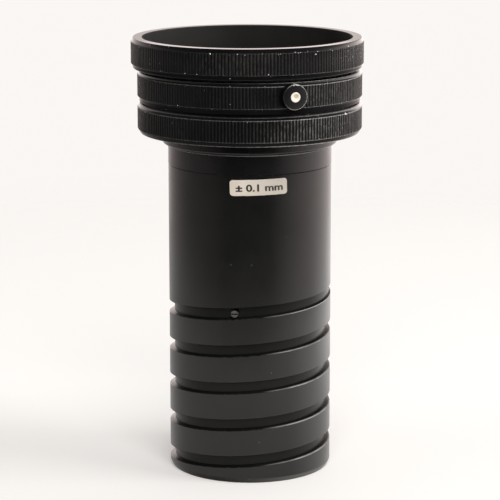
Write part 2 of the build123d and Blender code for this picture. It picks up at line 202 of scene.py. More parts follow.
def squareBar(name, azimuth, height, width, tall, reach):
    inner, outer = reach
    deselectAll()
    bpy.ops.mesh.primitive_cube_add(size=1, location=(0, 0, (inner + outer) / 2 * mm))
    bar = bpy.context.object
    bar.name = name
    bar.scale = (width * mm, tall * mm, (outer - inner) * mm)
    applyTransform(location=True, scale=True)
    standOut(bar, azimuth, height)
    return bar


def cutAway(piece, cutter):
    cut = piece.modifiers.new("cut", "BOOLEAN")
    cut.operation = "DIFFERENCE"
    cut.solver = "EXACT"
    cut.object = cutter
    applyModifiers(piece)
    bpy.data.objects.remove(cutter)


def helixBar(name, section, azimuth, height, radius, rise, turn, steps):
    # a closed (outward, along axis) section is screwed up round the axis and capped at both ends
    deselectAll()
    bpy.ops.mesh.primitive_circle_add(vertices=len(section), radius=mm)
    bar = bpy.context.object
    bar.name = name
    for point, (outward, along) in zip(bar.data.vertices, section):
        reach = (radius + outward) * mm
        point.co = (reach * sin(radians(azimuth)), -reach * cos(radians(azimuth)), (height + along) * mm)
    screw = bar.modifiers.new("screw", "SCREW")
    screw.axis = "Z"
    screw.iterations = max(1, round(abs(turn) / 360))
    screw.angle = radians(turn / screw.iterations)
    screw.screw_offset = rise / screw.iterations * mm
    screw.steps = steps
    screw.render_steps = steps
    screw.use_merge_vertices = False
    applyModifiers(bar)
    enterMode("EDIT")
    weldPoints()
    bpy.ops.mesh.select_mode(type="EDGE")
    selectMesh("DESELECT")
    bpy.ops.mesh.select_non_manifold(extend=False)
    bpy.ops.mesh.fill_holes(sides=len(section))
    selectMesh("SELECT")
    bpy.ops.mesh.normals_make_consistent(inside=False)
    enterMode("OBJECT")
    return bar


def pressKnurl(ring, facts):
    # four columns of points to a rib: two stay at the crest and two go down to the valley,
    # where the ends follow the chamfers; each valley has its own depth
    draw = random.Random(facts["seed"])
    depths = [facts["depth"] * draw.uniform(*shaping["valleyDepths"]) for rib in range(facts["ribs"])]
    low, high = facts["low"], facts["high"]
    columns = facts["ribs"] * 4
    nearby = shaping["sameHeight"]
    first = ring.data.vertices[0].co
    firstAngle = atan2(first.y, first.x)
    for point in ring.data.vertices:
        here = point.co / mm
        reach = hypot(here.x, here.y)
        if abs(reach - facts["radius"]) > nearby or not low - nearby < here.z < high + nearby:
            continue
        column = round((atan2(here.y, here.x) - firstAngle) / (2 * pi) * columns) % columns
        if column % 4 < 2:
            continue
        down = depths[column // 4]
        point.co.x *= (reach - down) / reach
        point.co.y *= (reach - down) / reach
        if abs(here.z - low) < nearby:
            point.co.z -= down * facts["lowSlope"] * mm
        elif abs(here.z - high) < nearby:
            point.co.z += down * facts["highSlope"] * mm
    makeActive(ring)
    bpy.ops.object.shade_smooth_by_angle(angle=radians(shaping["smoothAngle"]))


# Small helpers for materials

def newMaterial(name):
    material = bpy.data.materials.new(name)
    material.use_nodes = True
    shader = material.node_tree.nodes["Principled BSDF"]
    return material, shader, addNode(shader, "ShaderNodeTexCoord").outputs["Object"]


def addNode(neighbour, kind, **settings):
    # the neighbour is a tree, or any node or socket in the tree that the new node goes to
    made = neighbour.id_data.nodes.new(kind)
    for name, value in settings.items():
        if name in made.inputs:
            made.inputs[name].default_value = value
        else:
            setattr(made, name, value)
    return made


def link(source, target):
    source.id_data.links.new(source, target)


def paint(shader, colour):
    link(colour, shader.inputs["Base Color"])


def isNumber(value):
    return isinstance(value, (int, float))


def math(operation, first, second=0.0, clamp=False):
    neighbour = second if isNumber(first) else first
    made = addNode(neighbour, "ShaderNodeMath", operation=operation, use_clamp=clamp)
    for socket, value in zip(made.inputs, (first, second)):
        if isNumber(value):
            socket.default_value = value
        else:
            link(value, socket)
    return made.outputs[0]


def plus(first, second):
    return math("ADD", first, second)


def minus(first, second):
    return math("SUBTRACT", first, second)


def times(*factors):
    product = factors[0]
    for factor in factors[1:]:
        product = math("MULTIPLY", product, factor)
    return product


def larger(first, second):
    return math("MAXIMUM", first, second)


def size(value):
    return math("ABSOLUTE", value)


def distance(across, up):
    squares = plus(math("POWER", across, 2.0), math("POWER", up, 2.0))
    return math("SQRT", squares)


def between(start, end, share):
    # the start where the share is 0, the end where it is 1
    return plus(times(minus(end, start), share), start)


def ramp(value, low, high, lowResult=0.0, highResult=1.0):
    made = addNode(value, "ShaderNodeMapRange", interpolation_type="SMOOTHSTEP")
    link(value, made.inputs["Value"])
    limits = {"From Min": low, "From Max": high, "To Min": lowResult, "To Max": highResult}
    for name, number in limits.items():
        made.inputs[name].default_value = number
    return made.outputs["Result"]


def band(value, centre, halfWidth):
    # 1 at the centre of a band, falling to 0 at its edges
    return ramp(size(minus(value, centre)), halfWidth, 0.0)


def mixColour(share, first, second):
    made = addNode(share, "ShaderNodeMix", data_type="RGBA")
    link(share, made.inputs["Factor"])
    for socket, value in ((made.inputs[6], first), (made.inputs[7], second)):
        if isinstance(value, tuple):
            socket.default_value = (*value, 1)
        else:
            link(value, socket)
    return made.outputs[2]


def shade(tone, factor):
    return tuple(channel * factor for channel in tone)


def axes(place):
    split = addNode(place, "ShaderNodeSeparateXYZ")
    link(place, split.inputs[0])
    return split.outputs["X"], split.outputs["Y"], split.outputs["Z"]


def cylinderPlace(place, offset=0.0):
    # azimuth in degrees, radius and height in millimetres, about the optical axis
    x, y, z = axes(place)
    across = plus(x, -offset * mm)
    towards = times(y, -1.0)
    azimuth = times(math("ARCTAN2", across, towards), 180 / pi)
    radius = times(distance(across, towards), mmPerMetre)
    return azimuth, radius, times(z, mmPerMetre)


def noise(place, scale, detail=3.0, roughness=0.5, stretch=None):
    if stretch:
        mapping = addNode(place, "ShaderNodeMapping")
        mapping.inputs["Scale"].default_value = stretch
        link(place, mapping.inputs["Vector"])
        place = mapping.outputs[0]
    made = addNode(place, "ShaderNodeTexNoise", Scale=scale, Detail=detail, Roughness=roughness)
    link(place, made.inputs["Vector"])
    return made.outputs["Fac"]


def specks(place, scale, spotSize, share):
    # scattered round spots: a cell shows one only where its own random value is low enough
    made = addNode(place, "ShaderNodeTexVoronoi", Scale=scale)
    link(place, made.inputs["Vector"])
    spot = math("LESS_THAN", made.outputs["Distance"], spotSize)
    pick = addNode(place, "ShaderNodeSeparateColor")
    link(made.outputs["Color"], pick.inputs[0])
    return times(spot, math("LESS_THAN", pick.outputs[0], share))


def spotAt(azimuth, height, radius, spot):
    # a small round spot at a given azimuth and height on a turned surface
    spotAzimuth, spotHeight, spotRadius = spot
    around = times(minus(azimuth, spotAzimuth), radius * pi / 180)
    away = minus(height, spotHeight)
    return math("LESS_THAN", distance(around, away), spotRadius)


def driftingRoughness(shader, place, scale, low, high):
    drift = ramp(noise(place, scale), 0.3, 0.7, low, high)
    link(drift, shader.inputs["Roughness"])


def smoothTurned(shader, share):
    # smooth from the tool where the share is 0, as rough as the finish where it is 1
    rough = shader.inputs["Roughness"].links[0].from_socket
    rough = between(finish["turnedRoughness"], rough, share)
    link(rough, shader.inputs["Roughness"])


def addGrain(shader, height, strength):
    bump = addNode(shader, "ShaderNodeBump", Strength=strength, Distance=finish["grainHeight"] * mm)
    link(height, bump.inputs["Height"])
    link(bump.outputs[0], shader.inputs["Normal"])


def giveMaterial(piece, *materials):
    piece.data.materials.clear()
    for material in materials:
        piece.data.materials.append(material)


# Finishes

finish = {
    "barrelTone": (0.0064, 0.0062, 0.0060),
    "barrelRoughness": (0.20, 0.27),
    "ringTone": (0.0050, 0.0050, 0.0052),
    "ringRoughness": (0.22, 0.30),
    "insideTone": (0.0128, 0.0122, 0.0110),
    "insideRoughness": (0.70, 0.85),
    "knobTone": (0.0036, 0.0036, 0.0038),
    "knobRoughness": (0.34, 0.46),
    "turnedRoughness": 0.12,
    "grainHeight": 0.02,
    "plainGloss": 0.5,
    "knurlDuller": 0.26,
    "lowerGloss": 0.05,
    "upperGloss": 0.55,
    "rimGloss": (0.10, 0.012),
    # real wear, and the painted highlight on rib crests
    "wornAndLitTone": (0.145, 0.140, 0.129),
    # painted highlight on edges, lips and rims
    "edgeHighlightTone": (0.42, 0.41, 0.39),
    "speckStrength": 0.8,
    "speckTone": (0.50, 0.485, 0.46),
    "chipTone": (0.86, 0.84, 0.80),
    "dustTone": (0.11, 0.10, 0.095),
    "dustSpotTone": (0.07, 0.065, 0.06),
    # painted light: how much lighter the left side of the bores is painted
    "insideLitSide": 2.2,
    "labelTone": (0.80, 0.72, 0.63),
    "labelSpotTone": (0.42, 0.34, 0.26),
    # painted shade on the right end of the label
    "labelRightShade": 0.68,
    "inkTone": (0.028, 0.022, 0.018),
    "wornInkTone": (0.22, 0.18, 0.15),
    "studPaint": (0.87, 0.82, 0.72),
    # painted shade in the upper part of the dished stud end
    "studShadeTone": (0.60, 0.45, 0.31),
    "glassTone": (0.93, 0.955, 0.95),
    "glassDustTone": (0.5, 0.5, 0.48),
    "glassCoating": (0.55, 0.50, 1.0, 1),
    "glassIndex": 1.52,
}


def blackFinish(name, tone, roughness, dustShare=0.05, grain=2600):
    # black anodising: soft mottling, a few specks of dust, a fine matt grain
    material, shader, place = newMaterial(name)
    mottle = ramp(noise(place, 60, detail=4.0), 0.3, 0.75)
    lighter = tuple(channel * 1.35 + 0.0006 for channel in tone)
    colour = mixColour(mottle, tone, lighter)
    dust = specks(place, 420, spotSize=0.055, share=dustShare)
    colour = mixColour(dust, colour, finish["dustTone"])
    paint(shader, colour)
    driftingRoughness(shader, place, 70, *roughness)
    addGrain(shader, noise(place, grain, detail=2.0), 0.06)
    return material, shader, place, colour


def barrelFinish():
    material, shader, place, colour = blackFinish(
        "barrelBlack", finish["barrelTone"], finish["barrelRoughness"], dustShare=0.02
    )
    radius, pitch, foot = barrel["radius"], barrel["pitch"], barrel["footHeight"]
    azimuth, reach, height = cylinderPlace(place)
    # the outer edges of the groove are rubbed a little
    rub = noise(place, 700, detail=5.0, roughness=0.65, stretch=(1.0, 1.0, 0.25))
    edge = ramp(reach, radius - 0.25, radius - 0.12)
    edge = times(edge, ramp(reach, radius, radius - 0.05))
    wearAndHighlight = times(edge, ramp(rub, 0.48, 0.66, 0.0, 0.25))
    colour = mixColour(wearAndHighlight, colour, finish["wornAndLitTone"])
    # painted highlight: a pale line along the lower lip of the groove on the right side, where the edge
    # catches the light from the upper right
    rise = times(azimuth, pitch / 360)
    above = minus(minus(height, barrel["grooveHeight"]), rise)
    turns = plus(math("DIVIDE", above, pitch), 0.5)
    offset = times(minus(math("FRACT", turns), 0.5), pitch)
    lip = band(offset, -barrel["openingHalf"] + 0.02, 0.2)
    side = times(ramp(azimuth, 6, 32), ramp(azimuth, 110, 60))
    uneven = ramp(noise(place, 130), 0.3, 0.6, 0.45, 1.0)
    lip = times(lip, ramp(above, 3.2, 2.8), side, uneven, barrel["lipHighlight"])
    colour = mixColour(lip, colour, finish["edgeHighlightTone"])
    for spot in barrel["dustSpots"]:
        dustAndLitSide = spotAt(azimuth, height, radius, spot)
        colour = mixColour(dustAndLitSide, colour, finish["dustSpotTone"])
    paint(shader, colour)
    # the chamfer at the foot is smoother than the wall
    wall = ramp(height, foot - 0.1, foot + 0.2)
    smoothTurned(shader, wall)
    footGloss = ramp(azimuth, -25, 45, 0.25, 1.5)
    # the grooved part is polished on the right, where the holder runs
    polished = times(ramp(azimuth, 24, 56), ramp(height, 62, 48, 0.0, barrel["polish"]))
    gloss = between(footGloss, plus(polished, finish["plainGloss"]), wall)
    # the walls and the floor of the groove are duller
    groove = ramp(reach, radius - 0.3, radius - 0.1, 0.35, 1.0)
    groove = larger(groove, math("LESS_THAN", height, foot + 0.1))
    link(times(gloss, groove), shader.inputs["Specular IOR Level"])
    return material


def ringFinish(name, facts):
    # satin black: rib crests rubbed lighter and painted lighter around one side, where they catch the
    # light; painted edge highlights, bright specks, scuffs and chips
    material, shader, place, colour = blackFinish(name, finish["ringTone"], finish["ringRoughness"])
    azimuth, reach, height = cylinderPlace(place, facts["offset"])
    radius, low, high = facts["radius"], facts["low"], facts["high"]
    # rib crests: partly rubbed, partly a painted highlight where they face the light
    crest = ramp(reach, radius - 0.16, radius - 0.03)
    crestLitSide = ramp(size(minus(azimuth, facts["crestLitAzimuth"])), 44, 10, 0.10, 1.0)
    patchy = ramp(noise(place, 45), 0.36, 0.62, 0.35, 1.0)
    fine = noise(place, 1400, detail=4.0, roughness=0.7, stretch=(1.0, 1.0, 0.4))
    fine = ramp(fine, 0.42, 0.62, 0.25, 1.0)
    litRubbedCrests = times(crest, crestLitSide, patchy, fine, facts["crestWearAndLight"])
    colour = mixColour(litRubbedCrests, colour, finish["wornAndLitTone"])
    # painted highlight: the edges are painted bright on the right side, where they catch the light, and
    # faintly elsewhere
    ragged = ramp(noise(place, 900, detail=5.0, roughness=0.75), 0.40, 0.58, 0.45, 1.0)
    edgeLitSide = times(ramp(azimuth, -10, 35, 0.25, 1.0), ragged)
    outer = ramp(reach, radius - 2.4, radius - 1.9)
    for edgeHeight, halfWidth, strength in facts["edges"]:
        line = times(band(height, edgeHeight, halfWidth), outer, edgeLitSide, strength)
        colour = mixColour(line, colour, finish["edgeHighlightTone"])
    # painted highlight: a bright line along the taper of the collar, stronger towards the right side
    if "collarLine" in facts:
        lineHeight, halfWidth, strength = facts["collarLine"]
        collarLitSide = ramp(azimuth, -20, 35, 0.45 * strength, strength)
        line = times(band(height, lineHeight, halfWidth), collarLitSide)
        colour = mixColour(line, colour, finish["edgeHighlightTone"])
    # the turned chamfers and rims are smoother than the knurl between them
    knurled = times(ramp(height, low - 0.3, low), ramp(height, high + 0.3, high))
    plain = larger(knurled, ramp(height, low - 2.2, low - 2.6))
    smoothTurned(shader, plain)
    gloss = ramp(height, low - 0.2, high, finish["lowerGloss"], finish["upperGloss"])
    gloss = between(gloss, finish["plainGloss"], plain)
    gloss = minus(gloss, times(knurled, finish["knurlDuller"]))
    if "rimHeight" in facts:
        rim = ramp(height, facts["rimHeight"] - 0.12, facts["rimHeight"] - 0.04)
        shine = ramp(size(azimuth), 45, 70, *finish["rimGloss"])
        gloss = between(gloss, shine, rim)
    link(gloss, shader.inputs["Specular IOR Level"])
    # bright specks crowd at both ends of the knurl, and a few lie elsewhere
    nearEdges = larger(band(height, low, 0.5), band(height, high, 0.6))
    outside = ramp(reach, radius - 0.9, radius - 0.6)
    spots = specks(place, 1300, spotSize=0.24, share=facts["speckShare"])
    spots = math("GREATER_THAN", times(spots, nearEdges, outside), 0.35)
    few = specks(place, 1000, spotSize=0.13, share=0.045)
    spots = larger(spots, times(few, outside))
    if "scuff" in facts:
        scuffAzimuth, halfTurn, scuffHeight, halfHeight = facts["scuff"]
        area = band(azimuth, scuffAzimuth, halfTurn)
        area = times(area, band(height, scuffHeight, halfHeight))
        dense = math("GREATER_THAN", noise(place, 2000, detail=5.0, roughness=0.75), 0.61)
        spots = larger(spots, times(area, dense))
    colour = mixColour(times(spots, finish["speckStrength"]), colour, finish["speckTone"])
    for chip in facts["chips"]:
        chipped = spotAt(azimuth, height, radius, chip)
        colour = mixColour(chipped, colour, finish["chipTone"])
    paint(shader, colour)
    return material


def matInsideFinish():
    # matt black paint, with painted light: the left side of the bores is painted lighter, where the lamp
    # from the right falls on it
    material, shader, place, colour = blackFinish(
        "insideBlack", finish["insideTone"], finish["insideRoughness"], dustShare=0.02, grain=1500
    )
    # painted light: a lighter tone on the left wall of the bore
    overlay = ramp(axes(place)[0], -30 * mm, 4 * mm, 1.0, 0.0)
    dustAndLitSide = shade(finish["insideTone"], finish["insideLitSide"])
    paint(shader, mixColour(overlay, colour, dustAndLitSide))
    return material


def metalFinish(name, tone, roughness):
    # turned metal: fine rings from the tool and slight tarnish
    material, shader, place = newMaterial(name)
    tarnish = ramp(noise(place, 900, detail=4.0), 0.3, 0.7)
    paint(shader, mixColour(tarnish, tone, shade(tone, 0.72)))
    shader.inputs["Metallic"].default_value = 1.0
    driftingRoughness(shader, place, 1800, *roughness)
    addGrain(shader, noise(place, 3600, detail=2.0, stretch=(1.0, 1.0, 4.0)), 0.15)
    return material


def labelFinish():
    # satin film, yellowed in patches, spotted, and with painted shade making it darker towards its right
    # end
    material, shader, place = newMaterial("labelFilm")
    mottle = ramp(noise(place, 220, detail=4.0), 0.3, 0.75)
    tone = finish["labelTone"]
    aged = (tone[0] * 0.93, tone[1] * 0.90, tone[2] * 0.86)
    colour = mixColour(mottle, tone, aged)
    azimuth = cylinderPlace(place)[0]
    # painted shade: the right end of the label is darker, away from the light from the front left
    colour = mixColour(ramp(azimuth, -14, 24), colour, shade(tone, finish["labelRightShade"]))
    spots = specks(place, 900, spotSize=0.10, share=0.04)
    colour = mixColour(spots, colour, finish["labelSpotTone"])
    paint(shader, colour)
    driftingRoughness(shader, place, 500, 0.38, 0.5)
    addGrain(shader, noise(place, 1800), 0.1)
    return material


def inkFinish():
    material, shader, place = newMaterial("labelInk")
    wearAndHighlight = ramp(noise(place, 2600, detail=4.0, roughness=0.7), 0.45, 0.75, 0.0, 0.35)
    colour = mixColour(wearAndHighlight, finish["inkTone"], finish["wornInkTone"])
    paint(shader, colour)
    driftingRoughness(shader, place, 900, 0.45, 0.6)
    return material


def glassFinish():
    # coated glass: clear, with specks of dust and a faint film that dulls it here and there
    material, shader, place = newMaterial("coatedGlass")
    dust = specks(place, 500, spotSize=0.05, share=0.05)
    colour = mixColour(dust, finish["glassTone"], finish["glassDustTone"])
    paint(shader, colour)
    overlay = ramp(noise(place, 140, detail=4.0), 0.35, 0.75, 0.01, 0.05)
    link(overlay, shader.inputs["Roughness"])
    shader.inputs["Transmission Weight"].default_value = 1.0
    shader.inputs["IOR"].default_value = finish["glassIndex"]
    shader.inputs["Specular Tint"].default_value = finish["glassCoating"]
    return material


def plasticFinish(name, tone, roughness):
    material, shader, place = newMaterial(name)
    mottle = ramp(noise(place, 400), 0.35, 0.7)
    paint(shader, mixColour(mottle, tone, shade(tone, 0.9)))
    driftingRoughness(shader, place, 900, *roughness)
    addGrain(shader, noise(place, 3000, detail=2.0), 0.1)
    return material


insideBlack = matInsideFinish()
rubbedSteel = metalFinish("rubbedSteel", (0.26, 0.25, 0.24), (0.3, 0.45))
brightSteel = metalFinish("brightSteel", (0.80, 0.77, 0.72), (0.22, 0.35))
springSteel = metalFinish("springSteel", (0.35, 0.35, 0.37), (0.3, 0.42))
plainBrass = metalFinish("plainBrass", (0.72, 0.53, 0.25), (0.25, 0.4))
coatedGlass = glassFinish()
# painted shade: the bearing washer gets a near-black tone, so that the narrow gap between the rings where
# it sits looks shaded
washerDark = plasticFinish("washerDark", (0.012, 0.012, 0.0125), (0.45, 0.6))
print("finishes ready")


# Barrel with its helical groove

barrel = {
    "radius": 26.25,
    "footHeight": 1.5,
    "outline": [
        (24.1, 0), (25.6, 0), (26.25, 1.5), (26.25, 99.85), (26.1, 100), (24.6, 100),
        (24.6, 92.45), (23.0, 92.45), (23.0, 15), (23.5, 15), (23.5, 5), (24.1, 5),
    ],
    "sharp": (3, 4),
    "cornerFlat": 0.1,
    "steps": 256,
    "pitch": 12.15,
    "grooveHeight": 55.95,
    "grooveDepth": 1.7,
    "floorHalf": 1.4,
    "openingHalf": 1.875,
    "edgeFlat": 0.16,
    "cutterProud": 1.0,
    "polish": 0.3,
    # strength of the painted highlight on the lower lip of the groove
    "lipHighlight": 0.9,
    "runoutStart": 10.0,
    "runoutEnd": 122.0,
    "runoutLift": 1.02,
    "runoutReach": 3.5,
    "turns": 6,
    "stepsPerTurn": 180,
    "smoothAngle": 22,
    "screwAzimuth": -10.8,
    "holeRadius": 1.28,
    "holeReach": (15, 28),
    "recessRadius": 1.65,
    "recessReach": (24.55, 28),
    # azimuth, height and radius of each
    "dustSpots": (
        (-13.0, 71.5, 0.2), (1.2, 71.5, 0.2), (26.0, 80.0, 0.15), (15.0, 36.3, 0.2), (6.3, 13.6, 0.2),
    ),
}


def grooveHeight(azimuth):
    return barrel["grooveHeight"] + barrel["pitch"] * azimuth / 360


def makeGrooveCutter():
    depth, lip, proud = barrel["grooveDepth"], barrel["edgeFlat"], barrel["cutterProud"]
    slope = (barrel["openingHalf"] - barrel["floorHalf"]) / depth
    lipHalf = barrel["floorHalf"] + slope * (depth - lip)
    section = [(-depth, -barrel["floorHalf"]), (-lip, -lipHalf), (proud, -(lipHalf + lip + proud))]
    section += [(outward, -along) for outward, along in reversed(section)]
    rise = barrel["turns"] * barrel["pitch"]
    cutter = helixBar(
        "groove", section, barrel["runoutEnd"], grooveHeight(barrel["runoutEnd"]) - rise, barrel["radius"],
        rise, barrel["turns"] * 360, barrel["stepsPerTurn"],
    )
    # over the run-out the cutter leaves the barrel slowly
    start, end = barrel["runoutStart"], barrel["runoutEnd"]
    for point in cutter.data.vertices:
        azimuth = azimuthOf(point.co)
        near = abs(point.co.z / mm - grooveHeight(azimuth)) < barrel["runoutReach"]
        if near and azimuth > start:
            reach = hypot(point.co.x, point.co.y)
            out = (azimuth - start) / (end - start) * depth * barrel["runoutLift"] * mm
            point.co.x *= (reach + out) / reach
            point.co.y *= (reach + out) / reach
    return cutter


def makeBarrel():
    outline = breakCorners(barrel["outline"], barrel["cornerFlat"], barrel["sharp"])
    tube = turnRing("barrelTube", outline, barrel["steps"])
    cutAway(tube, makeGrooveCutter())
    azimuth = barrel["screwAzimuth"]
    height = grooveHeight(azimuth)
    cutAway(tube, roundBar("hole", azimuth, height, barrel["holeRadius"], barrel["holeReach"]))
    cutAway(tube, roundBar("recess", azimuth, height, barrel["recessRadius"], barrel["recessReach"]))
    tidyMesh(tube, barrel["smoothAngle"])
    giveMaterial(tube, barrelFinish())
    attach(tube, "fixed_barrel")
    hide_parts("main_barrel")
    return tube


barrelTube = makeBarrel()
print("barrel made:", len(barrelTube.data.polygons), "faces")


# Knurled rings

headHousing = {
    "outline": [
        (19.8, 92.5), (24.55, 92.5), (24.55, 100), (26.15, 100), (26.3, 100.15), (26.3, 105.9),
        (26.45, 105.9), (28.0, 107.0), (28.0, 110.2), (35.1, 110.2), (36.0, 111.7), (36.0, 118.4),
        (35.4, 119.25), (35.4, 119.8), (33.15, 119.8), (33.15, 128.75), (32.45, 128.75), (32.45, 129.45),
        (33.15, 129.45), (33.15, 129.98), (31.4, 129.98), (31.4, 111.3), (26.0, 111.3), (21.1, 104.4),
        (21.1, 96.0), (19.8, 96.0),
    ],
    "sharp": (3, 4, 10, 11, 15, 16, 17, 18, 19),
    "ribs": 210,
    "radius": 36.0,
    "low": 111.7,
    "high": 118.4,
    "lowSlope": 1.5 / 0.9,
    "highSlope": 0.85 / 0.6,
    "depth": 0.25,
    "seed": 11,
    "offset": 0.0,
    "crestLitAzimuth": 40,
    "crestWearAndLight": 0.95,
    "speckShare": 0.10,
    # height, half width and strength of each painted edge highlight
    "edges": ((119.32, 0.16, 0.5), (118.4, 0.2, 1.0), (111.7, 0.16, 0.6), (110.25, 0.35, 1.9)),
    "collarLine": (106.12, 0.28, 0.9),
    # azimuth, height and radius of each chip
    "chips": ((56.6, 118.5, 0.30), (57.6, 118.15, 0.16)),
    "pinSlotWidth": 2.1,
    "pinSlot": (120.95, 128.05),
    "pinSlotReach": (30.5, 34),
    "pinAzimuths": (12.0, 132.0, 252.0),
}

focusRing = {
    "outline": [
        (33.2, 120.25), (35.4, 120.25), (35.4, 121.6), (36.0, 122.1), (36.0, 128.88), (35.5, 129.38),
        (35.5, 129.98), (34.05, 129.98), (34.05, 128.75), (33.2, 128.75),
    ],
    "sharp": (3, 4),
    "ribs": 210,
    "radius": 36.0,
    "low": 122.1,
    "high": 128.88,
    "lowSlope": 0.5 / 0.6,
    "highSlope": 1.0,
    "depth": 0.21,
    "seed": 23,
    "offset": 0.0,
    "crestLitAzimuth": 45,
    "crestWearAndLight": 0.5,
    "speckShare": 0.14,
    "edges": ((129.98, 0.16, 0.9), (128.88, 0.2, 0.9), (122.1, 0.16, 0.5)),
    "chips": (),
    "lockAzimuth": 20.9,
    "lockHeight": 125.95,
    "spotRadius": 5.5,
    "spotReach": (35.55, 38),
    "spotSides": 96,
    "tappedRadius": 1.5,
    "tappedReach": (32, 37),
    "pinHeight": 122.0,
    "pinRise": 5.0,
    "pinTurn": 100.0,
    "pinGrooveRadius": 33.85,
    "pinGrooveReach": (-1.2, 0.65),
    "pinGrooveHalf": 1.05,
    "pinGrooveSteps": 60,
}

frontRing = {
    "outline": [
        (31.6, 131.2), (34.8, 131.2), (34.8, 130.3), (35.0, 130.3), (36.65, 131.1), (36.65, 132.2),
        (37.2, 132.5), (37.2, 139.2), (36.6, 140.6), (33.7, 140.6), (33.4, 140.3), (33.4, 133.25),
        (32.8, 133.25), (32.8, 132.2), (31.6, 132.2),
    ],
    "sharp": (6, 7, 9, 10),
    "ribs": 218,
    "radius": 37.2,
    "low": 132.5,
    "high": 139.2,
    "lowSlope": 0.3 / 0.55,
    "highSlope": 1.4 / 0.6,
    "depth": 0.17,
    "seed": 37,
    "offset": -0.77,
    "crestLitAzimuth": 0,
    "crestWearAndLight": 0.19,
    "speckShare": 0.26,
    "edges": ((139.2, 0.16, 0.15), (132.5, 0.16, 0.3), (131.1, 0.12, 0.2)),
    # azimuth, half turn, height and half height of the patch
    "scuff": (66, 26, 136.6, 4.2),
    "chips": ((34.5, 138.4, 0.16), (-17.5, 139.1, 0.14), (10.0, 132.9, 0.14), (58.0, 139.6, 0.15)),
    "rimHeight": 140.6,
    "insideRadius": 33.55,
    "insideTop": 140.45,
}


def turnKnurled(name, facts):
    outline = breakCorners(facts["outline"], shaping["knurlCornerFlat"], facts["sharp"])
    ring = turnRing(name, outline, facts["ribs"] * 4)
    pressKnurl(ring, facts)
    return ring


def makeHousing():
    housing = turnKnurled("headHousing", headHousing)
    low, high = headHousing["pinSlot"]
    width, reach = headHousing["pinSlotWidth"], headHousing["pinSlotReach"]
    for azimuth in headHousing["pinAzimuths"]:
        cutAway(housing, squareBar("slot", azimuth, (low + high) / 2, width, high - low, reach))
    tidyMesh(housing)
    giveMaterial(housing, ringFinish("rearRingBlack", headHousing))
    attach(housing, "fixed_barrel")
    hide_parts("head_housing")
    return housing


def makeFocusRing():
    ring = turnKnurled("focusRing", focusRing)
    # three helical grooves in the bore for the pins of the sliding cell
    half, bore = focusRing["pinGrooveHalf"], focusRing["pinGrooveRadius"]
    inner, outer = focusRing["pinGrooveReach"]
    section = [(inner, -half), (outer, -half), (outer, half), (inner, half)]
    margin = degrees(half / bore)
    lead = focusRing["pinRise"] / focusRing["pinTurn"]
    height = focusRing["pinHeight"] - margin * lead
    turn = focusRing["pinTurn"] + 2 * margin
    steps = focusRing["pinGrooveSteps"]
    for pin in headHousing["pinAzimuths"]:
        cutAway(ring, helixBar("pinGroove", section, pin + margin, height, bore, turn * lead, -turn, steps))
    lock = (focusRing["lockAzimuth"], focusRing["lockHeight"])
    spotReach, tappedReach = focusRing["spotReach"], focusRing["tappedReach"]
    cutAway(ring, roundBar("spot", *lock, focusRing["spotRadius"], spotReach, focusRing["spotSides"]))
    cutAway(ring, roundBar("tapped", *lock, focusRing["tappedRadius"], tappedReach))
    tidyMesh(ring)
    giveMaterial(ring, ringFinish("focusRingBlack", focusRing))
    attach(ring, "turning_ring")
    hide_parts("focus_ring")
    return ring


def makeFrontRing():
    ring = turnKnurled("frontRing", frontRing)
    makeActive(ring)
    ring.location.x = frontRing["offset"] * mm
    applyTransform(location=True)
    giveMaterial(ring, ringFinish("frontRingBlack", frontRing), insideBlack)
    # the bore and the lip under it are matt inside
    for face in ring.data.polygons:
        centre = face.center / mm
        reach = hypot(centre.x - frontRing["offset"], centre.y)
        if reach < frontRing["insideRadius"] and centre.z < frontRing["insideTop"]:
            face.material_index = 1
    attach(ring, "front_group")
    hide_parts("front_ring")
    return ring


rings = [makeHousing(), makeFocusRing(), makeFrontRing()]
print("rings made:", [len(ring.data.polygons) for ring in rings], "faces")


# Lock screw

lockScrew = {
    "knobOutline": [(1.58, 35.9), (3.7, 35.9), (4.0, 36.2), (4.0, 38.9), (3.7, 39.2), (1.58, 39.2)],
    "sharp": (2, 3),
    "cornerFlat": 0.06,
    "ribs": 44,
    "radius": 4.0,
    "low": 36.2,
    "high": 38.9,
    "lowSlope": 1.0,
    "highSlope": 1.0,
    "depth": 0.16,
    "seed": 51,
    "rimBand": (3.86, 0.17),
    "rimBrightness": 1.5,
    # to the right of the middle, above it, and the radius of each
    "knobChips": (
        (-0.55, 3.72, 0.24), (0.1, 3.85, 0.2), (0.5, 3.8, 0.26), (1.0, 3.65, 0.2), (2.7, -2.75, 0.16),
    ),
    "studOutline": [
        (0.2, 34.14), (1.35, 34.14), (1.45, 34.24), (1.45, 35.9), (1.55, 35.9), (1.55, 39.22), (1.47, 39.3),
        (1.08, 39.3), (1.0, 39.26), (0.85, 39.14), (0.6, 39.0), (0.4, 38.92), (0.2, 38.88),
    ],
    "studSteps": 64,
    "paintedAbove": 38.8,
}


def screwFacePlace(place):
    # millimetres to the right of the lock screw's axis, above it and out along it, seen from outside
    mapping = addNode(place, "ShaderNodeMapping", vector_type="POINT")
    mapping.inputs["Rotation"].default_value = (0, 0, -radians(focusRing["lockAzimuth"]))
    link(place, mapping.inputs["Vector"])
    x, y, z = axes(mapping.outputs[0])
    up = plus(times(z, mmPerMetre), -focusRing["lockHeight"])
    return times(x, mmPerMetre), up, times(y, -mmPerMetre)


def faceDistance(place, shift=(0.0, 0.0)):
    right, up = screwFacePlace(place)[:2]
    return distance(plus(right, -shift[0]), plus(up, -shift[1]))


